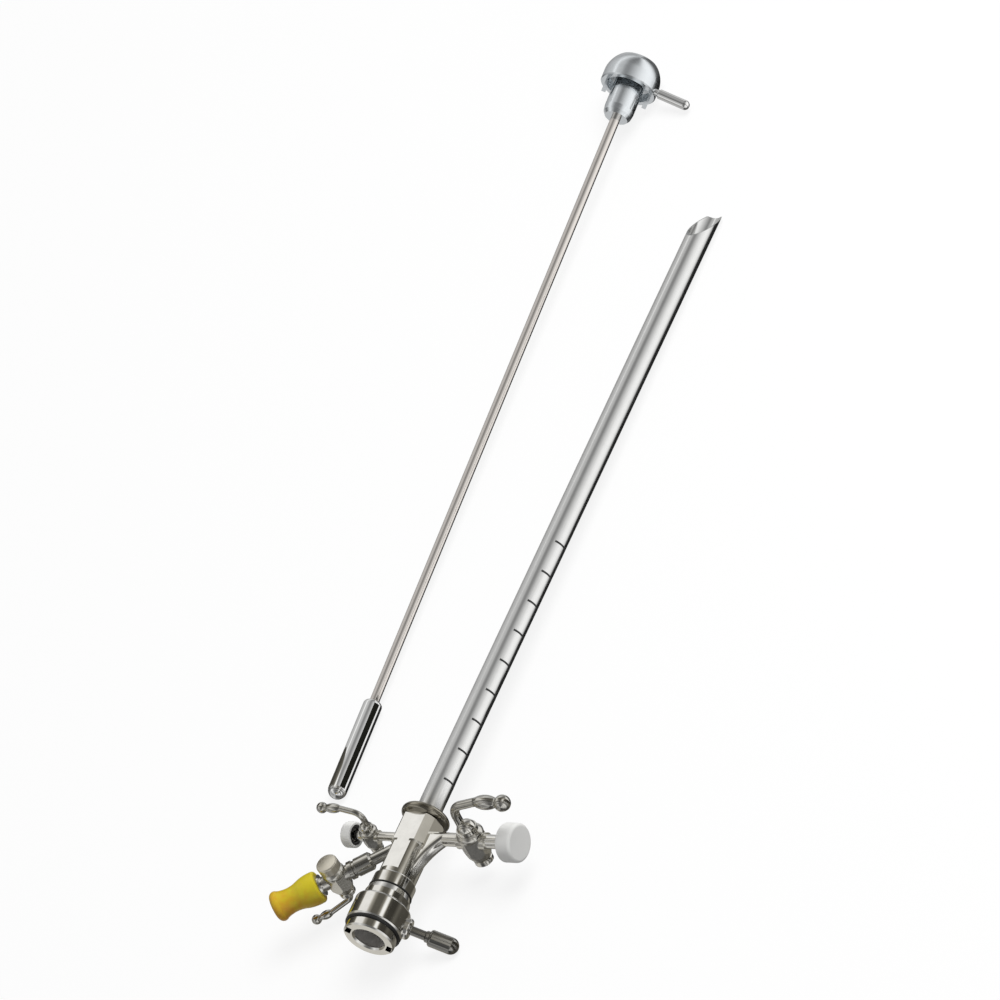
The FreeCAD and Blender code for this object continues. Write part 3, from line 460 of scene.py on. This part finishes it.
def turned_about_x(name, profile, centre):
    """A closed section of (x, radius) points turned about a line along x through (y, z) = centre:
    (x, y0 + radius cos a, z0 + radius sin a)."""
    around = np.linspace(0, 2 * np.pi, 73)[:-1][:, None]
    x, radius = (np.array(part)[None, :] for part in zip(*profile))
    points = np.stack((x + 0 * around, centre[0] + radius * np.cos(around),
                       centre[1] + radius * np.sin(around)), axis=-1)
    return grid_mesh(name, points * MM, close_u=True, close_v=True)


class SHEATH_OT_obturator(Operator):
    """Dress the obturator"""
    bl_idname = "sheath.obturator"
    bl_label = "Dress the obturator"

    def execute(self, context):
        colours = context.scene.steel
        satin = steel("blasted_head", colours.satin)
        rod = steel("drawn_rod", colours.rod)
        mirror = steel("mirror_tip", scaled(colours.tube, 1.1))
        dress(satin, "obturator_head", "obturator_head_cover", "obturator_neck", "obturator_claws")
        dress(rod, "obturator_rod")
        dress(mirror, "obturator_tip", "obturator_pin", "obturator_retaining_ring")
        return {"FINISHED"}


# The depth marks: their arc in degrees from the right towards up, the radii of their filling, half its width,
# their number and the step between them, in millimetres
MARK_ARC = (-68.0, 50.0)
MARK_RADII = (3.43, 3.506)
MARK_HALF = 0.3
MARK_COUNT = 9
MARK_STEP = 10.0


class SHEATH_OT_marks(Operator):
    """Lay the dark filling in the tube's depth marks: a flat bar bent about the sheath's line,
    (radius cos a, number * step + shift, radius sin a) for each corner of its section"""
    bl_idname = "sheath.marks"
    bl_label = "Fill the depth marks"

    def execute(self, context):
        ink = moulded("mark_filling", (0.03, 0.03, 0.03), 0.5, 0.6, 0.1, 0.000002)
        angle = np.radians(np.linspace(*MARK_ARC, 44))
        low, high = MARK_RADII
        corners = ((low, -MARK_HALF), (high, -MARK_HALF), (high, MARK_HALF), (low, MARK_HALF))
        for number in range(1, MARK_COUNT + 1):
            rows = [np.stack((radius * np.cos(angle), np.full_like(angle, number * MARK_STEP + shift),
                              radius * np.sin(angle)), axis=-1) for radius, shift in corners]
            name = "depth_mark_%d" % number
            mesh = grid_mesh(name, own_frame(np.stack(rows, axis=0)), close_u=True, cap_ends=True)
            add_piece(name, mesh, ink, "sheath")
        return {"FINISHED"}


class SHEATH_OT_studio(Operator):
    """Set the floor, the light and the camera"""
    bl_idname = "sheath.studio"
    bl_label = "Set the studio"

    def execute(self, context):
        settings = context.scene.studio
        make_floor(settings)
        make_world(settings)
        make_tent(settings)
        make_tip_card()
        make_lamp(settings)
        make_camera(settings)
        context.scene.view_settings.view_transform = "Standard"
        return {"FINISHED"}


def make_floor(settings):
    """The floor: white to the camera, with soft shadows. Metal mirrors the studio's bands instead of it."""
    level = CAD_BOX[0].z - FLOOR_GAP
    half = settings.floor_size / 2
    corners = [(-half, -half), (half, -half), (half, half), (-half, half)]
    mesh = bpy.data.meshes.new("floor")
    mesh.from_pydata([(x, y, level) for x, y in corners], [], [(0, 1, 2, 3)])
    floor = bpy.data.objects.new("floor", mesh)
    bpy.context.scene.collection.objects.link(floor)
    g = Graph("white_floor")
    g.shader.inputs["Base Color"].default_value = (0.96, 0.96, 0.96, 1)
    g.shader.inputs["Roughness"].default_value = 0.9
    g.shader.inputs["Specular IOR Level"].default_value = 0.0
    paths = g.node("LightPath")
    glow = g.node("Emission")
    glow.inputs["Color"].default_value = (1, 1, 1, 1)
    lifted = g.node("MixShader")
    share = g.node("Math", operation="MULTIPLY")
    g.links.new(paths.outputs["Is Camera Ray"], share.inputs[0])
    share.inputs[1].default_value = FLOOR_WHITE
    g.links.new(share.outputs[0], lifted.inputs[0])
    g.links.new(g.shader.outputs[0], lifted.inputs[1])
    g.links.new(glow.outputs[0], lifted.inputs[2])
    g.shine(lifted)
    mesh.materials.append(g.material)
    floor.visible_glossy = False
    floor.visible_diffuse = False


# How far the floor lies under the lowest point, in metres, and how much of it is plain white to the camera
FLOOR_GAP = 0.00002
FLOOR_WHITE = 0.84


def make_world(settings):
    """White to the camera, an even light on matt surfaces, and bands of light and dark for metal."""
    world = bpy.data.worlds.new("studio")
    bpy.context.scene.world = world
    world.use_nodes = True
    nodes, links = world.node_tree.nodes, world.node_tree.links
    background = nodes["Background"]
    paths = nodes.new("ShaderNodeLightPath")
    place = nodes.new("ShaderNodeTexCoord").outputs["Generated"]
    split = nodes.new("ShaderNodeSeparateXYZ")
    links.new(place, split.inputs[0])
    turn = nodes.new("ShaderNodeMath")
    turn.operation = "ARCTAN2"
    links.new(split.outputs["Z"], turn.inputs[0])
    links.new(split.outputs["X"], turn.inputs[1])
    sharp = grey_ramp(nodes, links, turn.outputs[0], math.pi, ROUND, math.radians(1))
    soft = grey_ramp(nodes, links, turn.outputs[0], math.pi, SOFT, math.radians(1))
    rings = grey_ramp(nodes, links, split.outputs["Y"], 1.0, RINGS)
    window = grey_ramp(nodes, links, split.outputs["Y"], 1.0, WINDOW)
    ringed = mixed_colour(nodes, links, 1.0, soft, rings, "MULTIPLY")
    bands = mixed_colour(nodes, links, window, ringed, sharp)
    unseen = mixed_colour(nodes, links, paths.outputs["Is Glossy Ray"], (settings.ambient / PEAK,) * 3, bands)
    shown = mixed_colour(nodes, links, paths.outputs["Is Camera Ray"], unseen, (1 / PEAK,) * 3)
    links.new(shown, background.inputs["Color"])
    background.inputs["Strength"].default_value = PEAK


# Brightness of the studio as metal sees it. PEAK is the brightest. ROUND and SOFT go round the instruments by
# the angle in degrees from +X towards up. ROUND has the photographer's sharp cards, and is seen towards the
# beak, by WINDOW. Elsewhere there is the softer room of SOFT, in the shares that RINGS gives. WINDOW and
# RINGS go by how far a direction points along +Y
PEAK = 1.2
ROUND = ((-180, 0.5), (-156, 0.36), (-146, 0.5), (-133, 0.4), (-129, 0.02), (-58, 0.02), (-52, 0.4),
         (-44, 0.85), (-26, 1.15), (-4, 1.2), (20, 1.05), (42, 0.76), (60, 0.52), (76, 0.3), (88, 0.3),
         (104, 0.6), (124, 0.66), (129, 1.1), (136, 1.1), (141, 0.66), (160, 0.62), (180, 0.5))
SOFT = ((-180, 0.45), (-150, 0.6), (-130, 0.7), (-112, 0.12), (-66, 0.12), (-48, 0.5), (-24, 1.1),
        (14, 1.15), (32, 0.9), (46, 0.4), (64, 0.22), (92, 0.22), (110, 0.5), (128, 0.95), (142, 0.9),
        (160, 0.45), (180, 0.45))
RINGS = ((-1.0, 0.9), (-0.93, 0.7), (-0.84, 0.7), (-0.74, 1.0), (-0.65, 0.65), (-0.55, 1.0), (-0.38, 1.0),
         (-0.24, 0.35), (-0.12, 0.35), (0.0, 1.0), (0.8, 1.0), (1.0, 0.9))
WINDOW = ((-1.0, 0.0), (0.26, 0.0), (0.36, 1.0), (0.6, 1.0), (0.72, 0.25), (0.85, 0.1), (1.0, 0.0))

# What the hub sees instead, by the same angle: dark olive cards round it with white gaps between them, in
# three zones from the rear to the front
OLIVE = (1.0, 0.93, 0.76)
REARWARD = ((-180, 0.3), (-156, 0.4), (-136, 0.72), (-124, 0.66), (-104, 0.12), (-62, 0.2), (-34, 0.06),
            (0, 0.04), (28, 0.1), (40, 0.9), (50, 0.9), (60, 0.16), (76, 0.05), (96, 0.05), (114, 0.36),
            (132, 0.38), (144, 0.7), (152, 0.7), (162, 0.25), (180, 0.3))
BEHIND = ((-180, 0.03), (-150, 0.06), (-128, 0.02), (-112, 0.24), (-78, 0.26), (-62, 0.07), (-40, 0.08),
          (-22, 0.08), (-8, 0.14), (6, 0.05), (24, 0.05), (34, 0.1), (40, 1.15), (48, 1.15), (54, 0.28),
          (62, 0.12), (84, 0.12), (96, 0.42), (104, 1.0), (137, 1.0), (142, 0.2), (152, 0.07), (180, 0.03))
BESIDE = ((-180, 0.06), (-150, 0.08), (-128, 0.03), (-100, 0.1), (-86, 0.28), (-60, 0.36), (-40, 0.34),
          (-24, 0.06), (0, 0.03), (14, 0.06), (30, 0.22), (42, 0.6), (52, 0.32), (66, 0.13), (84, 0.13),
          (100, 0.32), (118, 0.9), (128, 1.05), (137, 1.05), (144, 0.22), (160, 0.1), (180, 0.06))


def grey_ramp(nodes, links, value, limit, stops, unit=1.0):
    """Greys along a value that runs from -limit to limit, as shares of the brightest of the stops, whose
    places are in the unit."""
    share = nodes.new("ShaderNodeMapRange")
    share.inputs["From Min"].default_value = -limit
    share.inputs["From Max"].default_value = limit
    links.new(value, share.inputs["Value"])
    made = nodes.new("ShaderNodeValToRGB")
    elements = made.color_ramp.elements
    while len(elements) < len(stops):
        elements.new(0.5)
    top = max(level for _place, level in stops)
    for element, (place, level) in zip(elements, stops):
        element.position = (place * unit / limit + 1) / 2
        element.color = (level / top, level / top, level / top, 1)
    links.new(share.outputs[0], made.inputs["Fac"])
    return made.outputs["Color"]


def make_tent(settings):
    """The cards round the hub that its polished steel mirrors: narrow cone slats about the sheath's axis,
    from (radius cos a, y, radius sin a) out to (radius + reach, y - reach drop). What mirrors towards the
    beak sees their faces, and what mirrors backwards past their slope sees the room between them."""
    angle = np.linspace(0, 2 * np.pi, 73)[:-1]
    runs = [(np.arange(first, last, step), SLAT_REACH * drop) for first, last, step, drop in SLATS]
    starts = np.concatenate([places for places, _drop in runs])
    drops = np.concatenate([np.full(len(places), drop) for places, drop in runs])
    radius = settings.tent_radius / MM + np.array((0.0, SLAT_REACH))[None, :, None]
    place = starts[:, None, None] - drops[:, None, None] * np.array((0.0, 1.0))[None, :, None]
    radius, place, angle = np.broadcast_arrays(radius, place, angle)
    points = own_frame(np.stack((radius * np.cos(angle), place, radius * np.sin(angle)), axis=-1))
    index = np.arange(place.size).reshape(place.shape)
    after = np.roll(index, -1, axis=2)
    faces = np.stack((index[:, 0], index[:, 1], after[:, 1], after[:, 0]), axis=-1).reshape(-1, 4)
    mesh = bpy.data.meshes.new("card_tent")
    mesh.from_pydata(points.reshape(-1, 3).tolist(), [], faces.tolist())
    tent = bpy.data.objects.new("card_tent", mesh)
    bpy.context.scene.collection.objects.link(tent)
    g = Graph("card_tent")
    split = g.node("SeparateXYZ", Vector=g.mapped())
    turn = g.node("Math", operation="ARCTAN2")
    g.links.new(split.outputs["Z"], turn.inputs[0])
    g.links.new(split.outputs["X"], turn.inputs[1])
    grey = None
    for stops, change in ((REARWARD, None), (BEHIND, TENT_CHANGES[0]), (BESIDE, TENT_CHANGES[1])):
        top = max(level for _place, level in stops) / TENT_PEAK
        bands = grey_ramp(g.nodes, g.links, turn.outputs[0], math.pi, stops, math.radians(1))
        bands = g.mix(1.0, bands, (top,) * 3, "MULTIPLY")
        if change:
            forward = g.node("MapRange", From_Min=change[0], From_Max=change[1])
            g.links.new(split.outputs["Y"], forward.inputs["Value"])
            bands = g.mix(forward.outputs[0], grey, bands)
        grey = bands
    glow = g.node("Emission")
    g.links.new(g.mix(1.0, grey, g.mix(grey, OLIVE, (1.0, 1.0, 1.0)), "MULTIPLY"), glow.inputs["Color"])
    glow.inputs["Strength"].default_value = TENT_PEAK
    seen_from_front(g, glow)
    mesh.materials.append(g.material)
    only_mirrored(tent)


def seen_from_front(g, glow):
    """A card's glow on its front, with nothing to see from its back."""
    side = g.node("NewGeometry")
    clear = g.node("BsdfTransparent")
    faced = g.node("MixShader")
    g.links.new(side.outputs["Backfacing"], faced.inputs[0])
    g.links.new(glow.outputs[0], faced.inputs[1])
    g.links.new(clear.outputs[0], faced.inputs[2])
    g.shine(faced)


def only_mirrored(card):
    """A card of the studio that shows in mirrored light and does nothing else."""
    for kind in ("camera", "diffuse", "transmission", "volume_scatter", "shadow"):
        setattr(card, "visible_" + kind, False)


# The tent's slats in two runs, as (first, last, step, drop): places and step in millimetres along the
# sheath, and the slope. Then how far they reach outwards, where the cards change, and how bright white is
SLATS = ((-95.0, -50.0, 1.3, 1.2), (-50.0, 43.0, 2.0, 0.57))
SLAT_REACH = 2.0
TENT_CHANGES = ((-8.0, -2.0), (14.0, 19.0))
TENT_PEAK = 1.15


def make_tip_card():
    """The dark card beside the obturator's polished tip: an arc about the tip's axis,
    (x0 + radius cos a, y, z0 + radius sin a), seen from inside."""
    low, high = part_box("obturator_tip")
    centre = (low + high) / 2
    angle = np.radians(np.linspace(*TIP_CARD_ARC, 24))[:, None]
    along = np.array((low.y + TIP_CARD_SHIFT, high.y + TIP_CARD_SHIFT))[None, :]
    points = np.stack((centre.x + TIP_CARD_RADIUS * np.cos(angle) + 0 * along, along + 0 * angle,
                       centre.z + TIP_CARD_RADIUS * np.sin(angle) + 0 * along), axis=-1)
    mesh = grid_mesh("tip_card", points)
    card = bpy.data.objects.new("tip_card", mesh)
    bpy.context.scene.collection.objects.link(card)
    g = Graph("tip_card")
    glow = g.node("Emission")
    glow.inputs["Color"].default_value = TIP_CARD_GREY
    seen_from_front(g, glow)
    mesh.materials.append(g.material)
    only_mirrored(card)


# The tip card's arc in degrees from +X towards up, its radius, how far it stands ahead of the tip, in metres,
# and its colour
TIP_CARD_ARC = (-20.0, 44.0)
TIP_CARD_RADIUS = 0.016
TIP_CARD_SHIFT = 0.008
TIP_CARD_GREY = (0.015, 0.015, 0.012, 1)


def make_lamp(settings):
    """One broad soft lamp overhead."""
    data = bpy.data.lights.new("key", "AREA")
    data.shape = "DISK"
    data.size = KEY_SIZE
    data.energy = settings.key
    lamp = bpy.data.objects.new("key", data)
    bpy.context.scene.collection.objects.link(lamp)
    away = Vector(KEY_FROM).normalized()
    lamp.location = Vector(KEY_AIM) + away * KEY_DISTANCE
    lamp.rotation_euler = (-away).to_track_quat("-Z", "Y").to_euler()
    lamp.visible_glossy = False


# The lamp's width, its distance from the point that it is aimed at, in metres, and its direction from there
KEY_SIZE = 0.9
KEY_DISTANCE = 1.3
KEY_AIM = (0.0, 0.09, 0.0)
KEY_FROM = (0.36, 0.32, 0.88)


def make_camera(settings):
    """A long lens at the photograph's angle."""
    turn, rise = settings.azimuth, settings.elevation
    back = Vector((math.sin(turn) * math.cos(rise), -math.cos(turn) * math.cos(rise), math.sin(rise)))
    data = bpy.data.cameras.new("camera")
    data.sensor_width = SENSOR
    data.lens = SENSOR * settings.distance / settings.width
    data.clip_start, data.clip_end = 0.5, 50.0
    camera = bpy.data.objects.new("camera", data)
    bpy.context.scene.collection.objects.link(camera)
    facing = back.to_track_quat("Z", "Y").to_matrix() @ Matrix.Rotation(settings.roll, 3, "Z")
    middle = facing @ Vector((PICTURE_MIDDLE[0] * MM, PICTURE_MIDDLE[1] * MM, 0))
    camera.location = middle + back * settings.distance
    camera.rotation_euler = facing.to_euler()
    bpy.context.scene.camera = camera


# From the frame's origin to the middle of the picture: millimetres to the right and up in the picture
PICTURE_MIDDLE = (19.435, 84.25)

# Width of the camera's sensor, in millimetres
SENSOR = 36.0


class SHEATH_PT_panel(Panel):
    """The steps, in the order in which they are run"""
    bl_label = "Urethrotome sheath"
    bl_space_type = "VIEW_3D"
    bl_region_type = "UI"
    bl_category = "Sheath"

    def draw(self, context):
        for group in ("studio", "steel", "rubber"):
            box = self.layout.box()
            settings = getattr(context.scene, group)
            for name in settings.__annotations__:
                box.prop(settings, name)
        for step in STEPS:
            self.layout.operator(step.bl_idname)


STEPS = (SHEATH_OT_steel, SHEATH_OT_caps, SHEATH_OT_shade_rings, SHEATH_OT_obturator, SHEATH_OT_marks,
         SHEATH_OT_studio)
CLASSES = (StudioSettings, SteelSettings, RubberSettings, *STEPS, SHEATH_PT_panel)


def register():
    for item in CLASSES:
        bpy.utils.register_class(item)
    bpy.types.Scene.studio = PointerProperty(type=StudioSettings)
    bpy.types.Scene.steel = PointerProperty(type=SteelSettings)
    bpy.types.Scene.rubber = PointerProperty(type=RubberSettings)


def unregister():
    del bpy.types.Scene.rubber, bpy.types.Scene.steel, bpy.types.Scene.studio
    for item in reversed(CLASSES):
        bpy.utils.unregister_class(item)


def main():
    """Run every step."""
    register()
    for step in STEPS:
        group, name = step.bl_idname.split(".")
        getattr(getattr(bpy.ops, group), name)()


if __name__ == "__main__":
    main()
